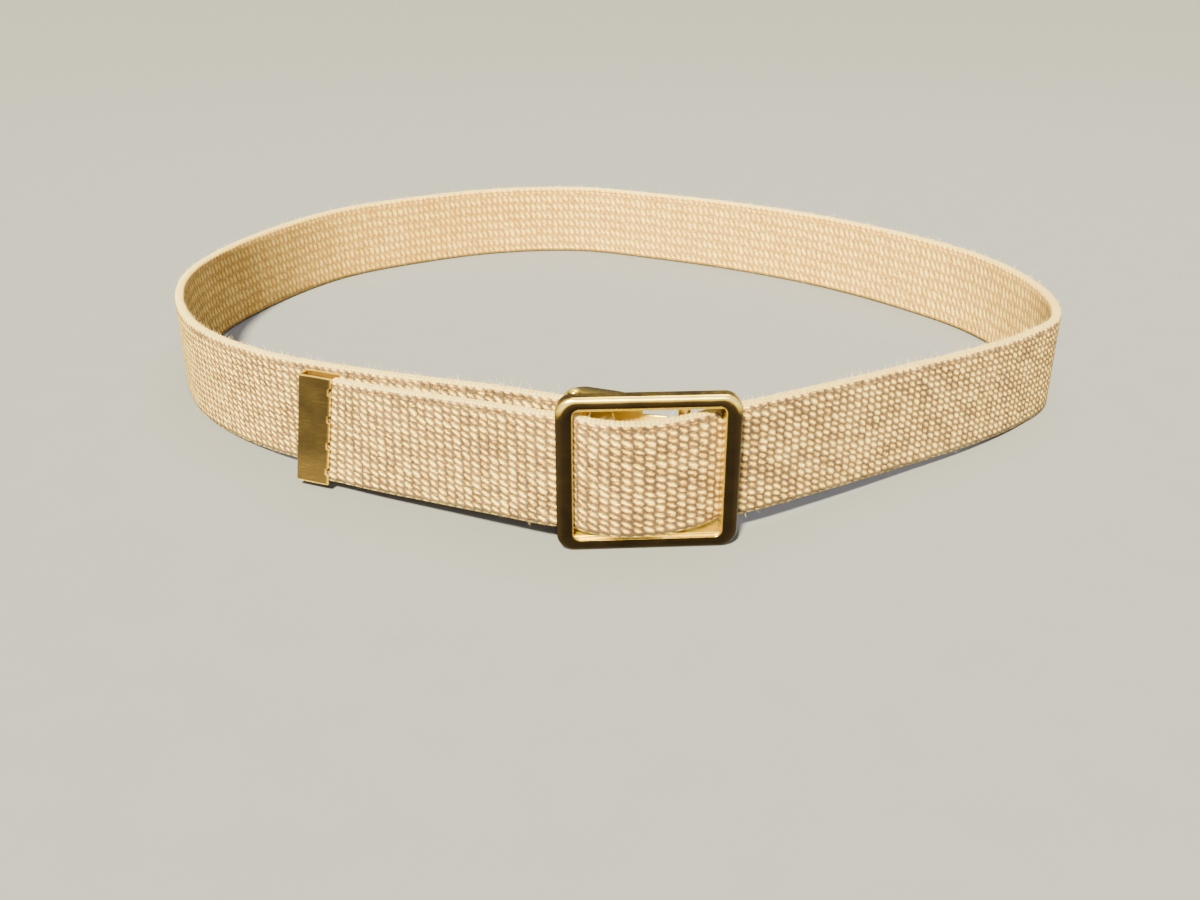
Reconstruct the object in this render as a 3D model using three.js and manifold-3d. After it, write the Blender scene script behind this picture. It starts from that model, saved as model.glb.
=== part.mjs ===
// Canvas web belt, fastened in a loop and standing on its lower edge.
// Millimetres, +Z up. The buckle faces -Y and the loop lies behind it.

import * as THREE from 'three';
import { mergeVertices } from 'three/addons/utils/BufferGeometryUtils.js';
import Module from 'manifold-3d';

const wasm = await Module();
wasm.setup();

// Clearances
const GAP = 0.3;
const LEFT_TURN_ROOM = 0.5;
const RIGHT_TURN_ROOM = 0.6;
const EDGE_ROOM = 1.1;
const PIN_ROOM = 2.6;

// Webbing
const WEB_WIDTH = 32;
const WEB_THICKNESS = 3;
const SELVEDGE = 0.9;
const LOOP_HALF_WIDTH = 153.5;
const LOOP_DEPTH = 310.5;
const WEB_BULGE = 2.8;
const WEB_RIGHT_RUNOUT = 5.9;
const WEB_LEFT_RUNOUT = 1;
const STEPS_PER_ROW = 5;

// Rim of the buckle
const FRAME_WIDTH = 46.5;
const SIDE_BAR = 4.25;
const END_BAR = 3.1;
const RIM_DEPTH = 3.8;
const LEFT_BAR_DEPTH = 1.8;
const RIGHT_BAR_DEPTH = 5.2;
const OUTER_RADIUS = 4.5;
const WINDOW_RADIUS = 1.8;
const FRONT_BEVEL = 1.2;
const BEVEL_STEPS = 3;
const CORNER_STEPS = 5;

// Walls and bed plate behind the rim
const WALL_THICKNESS = 1.1;
const WALL_INSET = 2.8;
const WALL_DEPTH = 8;
const WALL_OVERLAP = 2.8;
const WALL_PAST_WINDOW = 2;
const BED_THICKNESS = 1;
const BED_REACH = 10;
const EAR_REACH = 3;

// Clamp lever and its pin
const PIN_RADIUS = 1.1;
const PIN_HEAD_RADIUS = 1.8;
const PIN_HEAD_HEIGHT = 0.8;
const PIN_INSET = 5.15;
const KNUCKLE_WALL = 0.9;
const LEVER_THICKNESS = 0.9;
const LEVER_CLEAR = 3.9;
const TAB_CLEAR = 2.4;
const TAB_LENGTH = 6;
const TAB_WIDTH = 30;
const TAB_TO_BAR = 3.1;
const FIXED_END_REACH = 11.5;
const FIXED_END_EXIT = 5.5;

// Friction bar
const BAR_RADIUS = 1.6;
const JOURNAL_RADIUS = 0.8;
const BAR_BACK = 4.8;
const BAR_SHARE = 0.484;

// Metal tip of the tongue
const TIP_LENGTH = 11;
const TIP_SHEET = 0.6;
const TIP_OVERHANG = 0.3;
const TIP_SKEW = THREE.MathUtils.degToRad(8.3);
const TOOTH_NOTCH = 2.4;
const TOOTH_DEPTH = 0.8;
const TOOTH_COUNT = 4;
const ROUND_STEPS = 20;

// Sizes that follow
const LIFT = EDGE_ROOM + WALL_THICKNESS + WALL_INSET;
const FRAME_HEIGHT = WEB_WIDTH + 2 * LIFT;
const FRAME_HALF = FRAME_WIDTH / 2;
const MIDDLE = FRAME_HEIGHT / 2;
const WINDOW_HALF = FRAME_HALF - SIDE_BAR;
const WINDOW_HEIGHT = FRAME_HEIGHT - 2 * END_BAR;
const HALF_WEB = WEB_THICKNESS / 2;
const KNUCKLE_RADIUS = PIN_RADIUS + GAP + KNUCKLE_WALL;
const BEHIND_LEFT = LEFT_BAR_DEPTH + GAP + LEFT_TURN_ROOM + HALF_WEB;
const BEHIND_RIGHT = RIGHT_BAR_DEPTH + GAP + RIGHT_TURN_ROOM + HALF_WEB;
const WEB_FRONT = HALF_WEB - WEB_BULGE;
const WEB_BACK = WEB_THICKNESS - WEB_BULGE;
const WALL_LOW = WALL_INSET;
const WALL_HIGH = FRAME_HEIGHT - WALL_INSET;
const BAR_X = BAR_SHARE * WINDOW_HALF;

// Clamp lever's line: it leaves the pin slanting forward to the tab's root
const pin = new THREE.Vector2(-FRAME_HALF + PIN_INSET,
  LEFT_BAR_DEPTH + GAP + WEB_THICKNESS + PIN_ROOM + KNUCKLE_RADIUS);
const tabEnd = new THREE.Vector2(BAR_X - BAR_RADIUS - TAB_TO_BAR, WEB_BACK + TAB_CLEAR);
const tabRoot = new THREE.Vector2(tabEnd.x - TAB_LENGTH, WEB_BACK + LEVER_CLEAR);
const leverOffset = KNUCKLE_RADIUS - LEVER_THICKNESS / 2;
const leverSpan = tabRoot.distanceTo(pin);
const slant = Math.atan2(pin.y - tabRoot.y, tabRoot.x - pin.x) + Math.asin(leverOffset / leverSpan);
const leverLength = Math.sqrt(leverSpan ** 2 - leverOffset ** 2);

// A place given along the slanted line, away from the middle of the buckle, and behind it
function slanted(along, behind) {
  const x = pin.x - along * Math.cos(slant) + behind * Math.sin(slant);
  const y = pin.y + along * Math.sin(slant) + behind * Math.cos(slant);
  return new THREE.Vector2(x, y);
}

const fixedWebOffset = KNUCKLE_RADIUS + GAP + HALF_WEB;
const bedFront = fixedWebOffset + HALF_WEB + GAP;
const bedBack = bedFront + BED_THICKNESS;

// The loop from the fixed end round to the buckle.
// across is a share of the half width, back of the depth, lift of the buckle's lift.
const LOOP_ROWS = [
  { across: -0.239, back: 0.076, lift: 1.00 },
  { across: -0.472, back: 0.136, lift: 0.70 },
  { across: -0.702, back: 0.214, lift: 0.32 },
  { across: -0.886, back: 0.322, lift: 0.05 },
  { across: -0.986, back: 0.452, lift: 0.00 },
  { across: -1.000, back: 0.566, lift: 0.00 },
  { across: -0.919, back: 0.713, lift: 0.00 },
  { across: -0.749, back: 0.859, lift: 0.00 },
  { across: -0.530, back: 0.941, lift: 0.00 },
  { across: -0.289, back: 0.994, lift: 0.00 },
  { across: -0.020, back: 1.000, lift: 0.00 },
  { across: 0.223, back: 0.940, lift: 0.00 },
  { across: 0.447, back: 0.867, lift: 0.00 },
  { across: 0.659, back: 0.773, lift: 0.00 },
  { across: 0.826, back: 0.664, lift: 0.00 },
  { across: 0.952, back: 0.541, lift: 0.00 },
  { across: 0.984, back: 0.399, lift: 0.00 },
  { across: 0.927, back: 0.294, lift: 0.00 },
  { across: 0.821, back: 0.237, lift: 0.10 },
  { across: 0.681, back: 0.182, lift: 0.35 },
  { across: 0.511, back: 0.128, lift: 0.60 },
  { across: 0.321, back: 0.070, lift: 0.88 },
];

// Through the window: reach is a share of the window's half width, back runs from
// the proud middle (0) to the place behind the bar on that side (1), lift is as above
const WINDOW_ROWS = [
  { reach: 0.67, back: 0.42, lift: 1.00 },
  { reach: -0.15, back: 0.00, lift: 0.86 },
  { reach: -0.72, back: 0.46, lift: 1.00 },
];

// The tongue from the buckle to its end, in the loop's shares.
// skew is the share of the tip's lean in the web's own plane.
const TONGUE_ROWS = [
  { across: -0.238, back: 0.037, lift: 0.95, skew: 0.0 },
  { across: -0.362, back: 0.073, lift: 0.76, skew: 0.0 },
  { across: -0.473, back: 0.105, lift: 0.61, skew: 0.3 },
  { across: -0.543, back: 0.126, lift: 0.55, skew: 1.0 },
  { across: -0.606, back: 0.142, lift: 0.53, skew: 1.0 },
];

function webStation(x, y, lift, skew = 0) {
  return { place: new THREE.Vector3(x, y, lift * LIFT + WEB_WIDTH / 2), skew };
}

function loopStation(row) {
  return webStation(row.across * LOOP_HALF_WIDTH, row.back * LOOP_DEPTH, row.lift, row.skew);
}

function windowStation(row) {
  const behind = row.reach > 0 ? BEHIND_RIGHT : BEHIND_LEFT;
  const y = THREE.MathUtils.lerp(WEB_FRONT, behind, row.back);
  return webStation(row.reach * WINDOW_HALF, y, row.lift);
}

function webStations() {
  const fixedEnd = slanted(-FIXED_END_REACH, fixedWebOffset);
  const fixedExit = slanted(FIXED_END_EXIT, fixedWebOffset);
  return [
    webStation(fixedEnd.x, fixedEnd.y, 1),
    webStation(fixedExit.x, fixedExit.y, 1),
    ...LOOP_ROWS.map(loopStation),
    webStation(WINDOW_HALF + WEB_RIGHT_RUNOUT, BEHIND_RIGHT + 2 * RIGHT_TURN_ROOM, 1),
    webStation(WINDOW_HALF + RIGHT_TURN_ROOM, BEHIND_RIGHT, 1),
    ...WINDOW_ROWS.map(windowStation),
    webStation(-WINDOW_HALF - LEFT_TURN_ROOM, BEHIND_LEFT, 1),
    webStation(-FRAME_HALF - WEB_LEFT_RUNOUT, BEHIND_LEFT + 2 * LEFT_TURN_ROOM, 1),
    ...TONGUE_ROWS.map(loopStation),
  ];
}

// Section of the web, thickness by height, with its selvedges cut to a blunt edge
function webSection() {
  const t = HALF_WEB;
  const h = WEB_WIDTH / 2;
  const thin = t - SELVEDGE;
  const low = h - SELVEDGE;
  return [
    [t, -low], [t, low], [thin, h], [-thin, h],
    [-t, low], [-t, -low], [-thin, -h], [thin, -h],
  ];
}

// The section carried along the smooth path through all stations
function webGeometry() {
  const stations = webStations();
  const path = new THREE.CatmullRomCurve3(stations.map((s) => s.place), false, 'centripetal');
  const section = webSection();
  const steps = (stations.length - 1) * STEPS_PER_ROW;
  const positions = [];
  for (let i = 0; i <= steps; i += 1) {
    const at = i / steps;
    const place = path.getPoint(at);
    const along = path.getTangent(at).setZ(0).normalize();
    const row = Math.min(Math.floor(i / STEPS_PER_ROW), stations.length - 2);
    const between = i / STEPS_PER_ROW - row;
    const share = THREE.MathUtils.lerp(stations[row].skew, stations[row + 1].skew, between);
    const lean = share * Math.tan(TIP_SKEW);
    const height = Math.max(place.z, WEB_WIDTH / 2);
    for (const [side, up] of section) {
      const x = place.x - along.y * side - along.x * up * lean;
      const y = place.y + along.x * side - along.y * up * lean;
      positions.push(x, y, height + up);
    }
  }
  const n = section.length;
  const faces = [];
  for (let i = 0; i < steps; i += 1) {
    for (let k = 0; k < n; k += 1) {
      const a = i * n + k;
      const b = i * n + ((k + 1) % n);
      faces.push(a, b, b + n, a, b + n, a + n);
    }
  }
  const last = steps * n;
  for (let k = 1; k < n - 1; k += 1) {
    faces.push(0, k + 1, k, last, last + k, last + k + 1);
  }
  const geometry = new THREE.BufferGeometry();
  geometry.setAttribute('position', new THREE.Float32BufferAttribute(positions, 3));
  geometry.setIndex(faces);
  geometry.computeVertexNormals();
  return geometry;
}

// Closed geometry as a solid for joining and cutting
function solidOf(geometry) {
  const bare = geometry.clone();
  bare.deleteAttribute('normal');
  bare.deleteAttribute('uv');
  const merged = mergeVertices(bare);
  return new wasm.Manifold(new wasm.Mesh({
    numProp: 3,
    vertProperties: new Float32Array(merged.attributes.position.array),
    triVerts: new Uint32Array(merged.index.array),
  }));
}

function geometryOf(solid) {
  const mesh = solid.getMesh();
  const geometry = new THREE.BufferGeometry();
  geometry.setAttribute('position', new THREE.BufferAttribute(mesh.vertProperties, 3));
  geometry.setIndex(new THREE.BufferAttribute(mesh.triVerts, 1));
  geometry.computeVertexNormals();
  return geometry;
}

function box(x0, x1, y0, y1, z0, z1) {
  const geometry = new THREE.BoxGeometry(x1 - x0, y1 - y0, z1 - z0);
  geometry.translate((x0 + x1) / 2, (y0 + y1) / 2, (z0 + z1) / 2);
  return solidOf(geometry);
}

// Plan outline raised from one height to another
function slab(outline, low, high) {
  const shape = new THREE.Shape(outline);
  const geometry = new THREE.ExtrudeGeometry(shape, { depth: high - low, bevelEnabled: false });
  geometry.translate(0, 0, low);
  return solidOf(geometry);
}

function upright(centre, radius, low, high) {
  const geometry = new THREE.CylinderGeometry(radius, radius, high - low, ROUND_STEPS);
  geometry.rotateX(Math.PI / 2);
  geometry.translate(centre.x, centre.y, (low + high) / 2);
  return solidOf(geometry);
}

// A rectangle with round corners, drawn about the middle of the rim
function roundedRectangle(path, width, height, radius) {
  const x = width / 2;
  const y = height / 2;
  path.moveTo(x, -y + radius);
  path.lineTo(x, y - radius);
  path.absarc(x - radius, y - radius, radius, 0, Math.PI / 2);
  path.lineTo(-x + radius, y);
  path.absarc(-x + radius, y - radius, radius, Math.PI / 2, Math.PI);
  path.lineTo(-x, -y + radius);
  path.absarc(-x + radius, -y + radius, radius, Math.PI, 1.5 * Math.PI);
  path.lineTo(x - radius, -y);
  path.absarc(x - radius, -y + radius, radius, 1.5 * Math.PI, 2 * Math.PI);
  path.closePath();
  return path;
}

// The rim's ring between two depths, with both ends bevelled by the given amount
function rimRing(front, back, bevel) {
  const outline = roundedRectangle(new THREE.Shape(), FRAME_WIDTH, FRAME_HEIGHT, OUTER_RADIUS);
  const window = new THREE.Path();
  outline.holes.push(roundedRectangle(window, 2 * WINDOW_HALF, WINDOW_HEIGHT, WINDOW_RADIUS));
  const geometry = new THREE.ExtrudeGeometry(outline, {
    depth: back - front - 2 * bevel,
    bevelEnabled: bevel > 0,
    bevelThickness: bevel,
    bevelSize: bevel,
    bevelOffset: -bevel,
    bevelSegments: BEVEL_STEPS,
    curveSegments: CORNER_STEPS,
  });
  geometry.translate(0, 0, bevel - back);
  geometry.rotateX(Math.PI / 2);
  geometry.translate(0, 0, MIDDLE);
  return solidOf(geometry);
}

// Rim, walls, ears and bed plate are one piece of plated metal
function buckleFrame() {
  const wall = [
    new THREE.Vector2(-WINDOW_HALF - WALL_PAST_WINDOW, RIM_DEPTH - WALL_OVERLAP),
    new THREE.Vector2(WINDOW_HALF + WALL_PAST_WINDOW, RIM_DEPTH - WALL_OVERLAP),
    new THREE.Vector2(WINDOW_HALF + WALL_PAST_WINDOW, WALL_DEPTH),
    new THREE.Vector2(tabRoot.x, WALL_DEPTH),
    slanted(-BED_REACH, bedBack),
    slanted(0, bedBack),
    slanted(EAR_REACH, fixedWebOffset),
    new THREE.Vector2(-WINDOW_HALF - WALL_PAST_WINDOW, pin.y),
  ];
  const bed = [
    slanted(0, bedFront),
    slanted(-BED_REACH, bedFront),
    slanted(-BED_REACH, bedBack),
    slanted(0, bedBack),
  ];
  const barPlace = new THREE.Vector2(BAR_X, BAR_BACK);
  const webLow = LIFT - GAP;
  const webHigh = FRAME_HEIGHT - LIFT + GAP;
  const windowLow = END_BAR;
  const windowHigh = FRAME_HEIGHT - END_BAR;
  return rimRing(0, RIM_DEPTH, FRONT_BEVEL)
    .add(rimRing(FRONT_BEVEL, RIM_DEPTH, 0))
    .add(box(WINDOW_HALF, FRAME_HALF, FRONT_BEVEL, RIGHT_BAR_DEPTH, windowLow, windowHigh))
    .subtract(box(-FRAME_WIDTH, -WINDOW_HALF + GAP, LEFT_BAR_DEPTH, WALL_DEPTH, webLow, webHigh))
    .add(slab(wall, WALL_LOW, WALL_LOW + WALL_THICKNESS))
    .add(slab(wall, WALL_HIGH - WALL_THICKNESS, WALL_HIGH))
    .add(slab(bed, WALL_LOW, WALL_HIGH))
    .subtract(upright(pin, PIN_RADIUS + GAP, 0, FRAME_HEIGHT))
    .subtract(upright(barPlace, JOURNAL_RADIUS + GAP, 0, FRAME_HEIGHT));
}

// Strip of even thickness along two plan points
function strip(from, to, thickness) {
  const side = to.clone().sub(from).normalize().multiplyScalar(thickness / 2);
  const off = new THREE.Vector2(-side.y, side.x);
  return [from.clone().sub(off), to.clone().sub(off), to.clone().add(off), from.clone().add(off)];
}

// Knuckle round the pin, plate along the slant and the narrower finger tab
function clampLever() {
  const low = WALL_LOW + WALL_THICKNESS + GAP;
  const high = WALL_HIGH - WALL_THICKNESS - GAP;
  const plate = strip(slanted(0, leverOffset), slanted(-leverLength, leverOffset), LEVER_THICKNESS);
  const tab = strip(slanted(-leverLength + LEVER_THICKNESS / 2, leverOffset), tabEnd, LEVER_THICKNESS);
  return upright(pin, KNUCKLE_RADIUS, low, high)
    .add(slab(plate, low, high))
    .add(slab(tab, MIDDLE - TAB_WIDTH / 2, MIDDLE + TAB_WIDTH / 2))
    .subtract(upright(pin, PIN_RADIUS + GAP, 0, FRAME_HEIGHT));
}

// A round piece turned from its profile, standing about its own axis
function turned(profile, centre) {
  const geometry = new THREE.LatheGeometry(profile, ROUND_STEPS);
  geometry.rotateX(Math.PI / 2);
  geometry.translate(centre.x, centre.y, MIDDLE);
  return geometry;
}

// Half profile and its mirror below, from axis to axis
function mirroredProfile(halves) {
  const upper = halves.map(([r, z]) => new THREE.Vector2(r, z));
  const lower = halves.map(([r, z]) => new THREE.Vector2(r, -z)).reverse();
  return [...lower, ...upper];
}

function hingePin() {
  const under = WALL_HIGH + GAP - MIDDLE;
  const top = under + PIN_HEAD_HEIGHT;
  const dome = PIN_HEAD_HEIGHT / 2;
  return turned(mirroredProfile([
    [PIN_RADIUS, under], [PIN_HEAD_RADIUS, under],
    [PIN_HEAD_RADIUS, top - dome], [PIN_HEAD_RADIUS - dome, top], [0, top],
  ]), pin);
}

function frictionBar() {
  const shoulder = WALL_HIGH - WALL_THICKNESS - GAP - MIDDLE;
  const end = WALL_HIGH - MIDDLE;
  return turned(mirroredProfile([
    [BAR_RADIUS, shoulder], [JOURNAL_RADIUS, shoulder], [JOURNAL_RADIUS, end], [0, end],
  ]), new THREE.Vector2(BAR_X, BAR_BACK));
}

// Folded sheet closed at its far end. Here X runs outward along the tongue,
// Y across its thickness, and the web's end lies at the origin.
function tipSolid() {
  const inside = HALF_WEB + GAP;
  const outside = inside + TIP_SHEET;
  const closed = GAP + TIP_SHEET;
  const open = closed - TIP_LENGTH;
  const fold = new THREE.Shape();
  fold.moveTo(open, -outside);
  fold.lineTo(closed - TIP_SHEET, -outside);
  fold.lineTo(closed, -outside + TIP_SHEET);
  fold.lineTo(closed, outside - TIP_SHEET);
  fold.lineTo(closed - TIP_SHEET, outside);
  fold.lineTo(open, outside);
  fold.lineTo(open, inside);
  fold.lineTo(GAP, inside);
  fold.lineTo(GAP, -inside);
  fold.lineTo(open, -inside);
  const height = WEB_WIDTH + 2 * TIP_OVERHANG;
  const geometry = new THREE.ExtrudeGeometry(fold, { depth: height, bevelEnabled: false });
  geometry.translate(0, 0, -height / 2);
  let solid = solidOf(geometry);
  const pitch = height / TOOTH_COUNT;
  for (let k = 0; k < TOOTH_COUNT; k += 1) {
    const z = (k + 0.5) * pitch - height / 2;
    const x1 = open + TOOTH_DEPTH;
    const half = TOOTH_NOTCH / 2;
    solid = solid.subtract(box(open - TIP_SHEET, x1, -2 * outside, 2 * outside, z - half, z + half));
  }
  return solid;
}

// Materials
const cotton = new THREE.MeshStandardMaterial({ color: 0xd8bb90, roughness: 0.92, metalness: 0 });
const gold = new THREE.MeshStandardMaterial({ color: 0xc79a4b, roughness: 0.22, metalness: 1 });
const brushed = new THREE.MeshStandardMaterial({ color: 0xa98a4e, roughness: 0.4, metalness: 1 });
const steel = new THREE.MeshStandardMaterial({ color: 0xb48b45, roughness: 0.35, metalness: 1 });

function piece(name, geometry, material) {
  const mesh = new THREE.Mesh(geometry, material);
  mesh.name = name;
  return mesh;
}

// The tip is turned to the tongue's direction, and its closed and open ends slant by the skew
function beltTip() {
  const slope = -Math.tan(TIP_SKEW);
  const shear = new THREE.Matrix4().makeShear(0, 0, 0, 0, slope, 0);
  const mesh = piece('belt_tip', geometryOf(tipSolid()).applyMatrix4(shear), brushed);
  const ends = TONGUE_ROWS.slice(-2).map((row) => loopStation(row).place);
  const heading = Math.atan2(ends[1].y - ends[0].y, ends[1].x - ends[0].x);
  mesh.position.copy(ends[1]);
  mesh.rotation.set(0, 0, heading);
  return mesh;
}

const belt = new THREE.Group();
belt.add(piece('web_strap', webGeometry(), cotton));
belt.add(piece('buckle_frame', geometryOf(buckleFrame()), gold));
belt.add(piece('clamp_lever', geometryOf(clampLever()), gold));
belt.add(piece('hinge_pin', hingePin(), steel));
belt.add(piece('friction_bar', frictionBar(), steel));
belt.add(beltTip());

// The origin is the middle of the footprint, on the surface that the belt stands on
belt.updateMatrixWorld(true);
const bounds = new THREE.Box3().setFromObject(belt, true);
const middle = bounds.getCenter(new THREE.Vector3());
belt.position.set(-middle.x, -middle.y, -bounds.min.z);

export default belt;
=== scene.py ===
"""Canvas web belt, fastened in a loop and standing on its lower edge."""

import math

import bmesh
import bpy
import numpy as np
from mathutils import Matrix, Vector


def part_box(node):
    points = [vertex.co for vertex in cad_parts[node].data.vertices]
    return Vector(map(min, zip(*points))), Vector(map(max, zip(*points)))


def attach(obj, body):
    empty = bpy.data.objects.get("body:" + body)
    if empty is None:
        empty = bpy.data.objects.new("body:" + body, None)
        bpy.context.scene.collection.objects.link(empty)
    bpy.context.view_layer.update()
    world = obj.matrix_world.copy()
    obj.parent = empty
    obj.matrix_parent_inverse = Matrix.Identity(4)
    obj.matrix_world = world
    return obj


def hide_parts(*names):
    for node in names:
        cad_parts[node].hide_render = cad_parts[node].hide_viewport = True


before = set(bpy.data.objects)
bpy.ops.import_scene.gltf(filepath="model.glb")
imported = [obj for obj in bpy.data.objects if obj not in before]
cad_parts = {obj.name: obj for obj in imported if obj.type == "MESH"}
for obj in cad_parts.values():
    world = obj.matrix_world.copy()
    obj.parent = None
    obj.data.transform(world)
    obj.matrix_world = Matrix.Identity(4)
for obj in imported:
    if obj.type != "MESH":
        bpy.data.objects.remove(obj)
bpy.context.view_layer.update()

MM = 0.001
BODY = "root"

# Webbing, in millimetres
WEB_WIDTH = 32.0
WEB_THICKNESS = 3.0
SELVEDGE = 1.25
LOOP_HALF_WIDTH = 153.5
LOOP_DEPTH = 310.5
WEB_BULGE = 2.8
STATION_STEP = 0.4
FACE_COLUMNS = 12
EDGE_COLUMNS = 5

# Weave: one cell's length along the web and its height, in millimetres
CELL_LENGTH = 2.75
CELL_HEIGHT = 2.0
RIB_PITCH = 1.2
RIB_HEIGHT = 0.11

# Inside the tip the web is less high: how far past the place TIP_LENGTH short of its end
# that starts, the length of the ramp, and the share of height that it loses
IN_TIP_START = 1.2
IN_TIP_BLEND = 0.8
IN_TIP_SHRINK = 0.055

# Loose fibres: how many, the share on the upper edge, the stations at both ends of the
# route that have none, and their sizes in millimetres
FIBRE_COUNT = 7000
FIBRE_SEED = 11
UPPER_SHARE = 0.72
BARE_AT_START = 45
BARE_AT_END = 40
FIBRE_RINGS = 5
FIBRE_SIDES = 3
FIBRE_RADIUS = 0.034
FIBRE_TAPER = 0.65
LEAST_FIBRE = 0.3
MOST_FIBRE = 2.8

# Buckle, in millimetres
GAP = 0.3
LEFT_TURN_ROOM = 0.5
RIGHT_TURN_ROOM = 0.6
FRAME_WIDTH = 46.5
FRAME_HEIGHT = 42.0
SIDE_BAR = 4.25
END_BAR = 3.1
RIM_DEPTH = 3.8
LEFT_BAR_DEPTH = 1.8
RIGHT_BAR_DEPTH = 5.2
OUTER_RADIUS = 4.5
WINDOW_RADIUS = 1.8
WALL_THICKNESS = 1.1
WALL_INSET = 2.8
WALL_DEPTH = 8.0
WALL_FRONT = 1.0
WALL_PAST_WINDOW = 2.0
BED_THICKNESS = 1.0
BED_REACH = 10.0
EAR_REACH = 3.0
PIN_RADIUS = 1.1
PIN_HEAD_RADIUS = 1.8
DOME_HEIGHT = 1.3
PIN_INSET = 5.15
PIN_ROOM = 2.6
KNUCKLE_WALL = 0.9
LEVER_THICKNESS = 0.9
LEVER_CLEAR = 3.9
TAB_CLEAR = 2.4
TAB_LENGTH = 6.0
TAB_WIDTH = 30.0
TAB_TO_BAR = 3.1
FIXED_END_REACH = 11.5
FIXED_END_EXIT = 5.5
BAR_RADIUS = 1.6
JOURNAL_RADIUS = 0.8
BAR_BACK = 4.8
BAR_SHARE = 0.484

# Metal tip, in millimetres
TIP_LENGTH = 11.0
TIP_SHEET = 0.6
TIP_OVERHANG = 0.3
TIP_SKEW = math.radians(8.3)
TOOTH_NOTCH = 2.4
TOOTH_DEPTH = 0.8
TOOTH_COUNT = 4

# Sizes that follow
HALF_WEB = WEB_THICKNESS / 2
FRAME_HALF = FRAME_WIDTH / 2
LIFT = (FRAME_HEIGHT - WEB_WIDTH) / 2
MIDDLE = FRAME_HEIGHT / 2
WINDOW_HALF = FRAME_HALF - SIDE_BAR
BEHIND_LEFT = LEFT_BAR_DEPTH + GAP + LEFT_TURN_ROOM + HALF_WEB
BEHIND_RIGHT = RIGHT_BAR_DEPTH + GAP + RIGHT_TURN_ROOM + HALF_WEB
WEB_FRONT = HALF_WEB - WEB_BULGE
WEB_BACK = WEB_THICKNESS - WEB_BULGE
KNUCKLE_RADIUS = PIN_RADIUS + GAP + KNUCKLE_WALL
WALL_LOW = WALL_INSET
WALL_HIGH = FRAME_HEIGHT - WALL_INSET
BAR_X = BAR_SHARE * WINDOW_HALF

# The rim's middle on its front plane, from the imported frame
rim_low, rim_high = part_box("buckle_frame")
ORIGIN = np.array([(rim_low.x + rim_high.x) / 2, rim_low.y, 0.0])

# Camera, in millimetres from the rim's middle, and its angles
CAMERA_PLACE = (-28.1, -259.3, 144.0)
CAMERA_PITCH = 24.0
CAMERA_TURN = -3.5
CAMERA_LENS = 34.5


def in_frame(points):
    """Points in millimetres about the rim's middle, as metres in the part's frame."""
    return np.asarray(points, float) * MM + ORIGIN


def set_camera():
    data = bpy.data.cameras.new("camera")
    data.lens = CAMERA_LENS
    data.sensor_width = 36.0
    data.clip_start = 0.01
    camera = bpy.data.objects.new("camera", data)
    camera.location = in_frame(CAMERA_PLACE)
    camera.rotation_euler = (math.radians(90 - CAMERA_PITCH), 0, math.radians(CAMERA_TURN))
    bpy.context.scene.collection.objects.link(camera)
    bpy.context.scene.camera = camera


# Shader expressions


class Value:
    """A number from a shader socket, which the usual operators work on."""

    def __init__(self, finish, socket):
        self.finish = finish
        self.socket = socket

    def math(self, operation, *others):
        inputs = {0: self, **{k + 1: other for k, other in enumerate(others)}}
        return self.finish.node("ShaderNodeMath", {"operation": operation}, inputs)

    def reflected(self, operation, other):
        return self.finish.node("ShaderNodeMath", {"operation": operation}, {0: other, 1: self})

    def __add__(self, other):
        return self.math("ADD", other)

    def __sub__(self, other):
        return self.math("SUBTRACT", other)

    def __mul__(self, other):
        return self.math("MULTIPLY", other)

    def __truediv__(self, other):
        return self.math("DIVIDE", other)

    def __pow__(self, other):
        return self.math("POWER", other)

    def __radd__(self, other):
        return self.reflected("ADD", other)

    def __rsub__(self, other):
        return self.reflected("SUBTRACT", other)

    def __rmul__(self, other):
        return self.reflected("MULTIPLY", other)

    def whole(self):
        return self.math("FLOOR")

    def size(self):
        return self.math("ABSOLUTE")

    def wave(self):
        """Cosine with its top at each whole number."""
        return (self * math.tau).math("COSINE")

    def clamped(self):
        return self.math("MINIMUM", 1.0).math("MAXIMUM", 0.0)

    def between(self, low, high):
        """0 below low, 1 above high and a smooth step between them."""
        settings = {"interpolation_type": "SMOOTHSTEP"}
        inputs = {"Value": self, "From Min": low, "From Max": high}
        return self.finish.node("ShaderNodeMapRange", settings, inputs)


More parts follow.
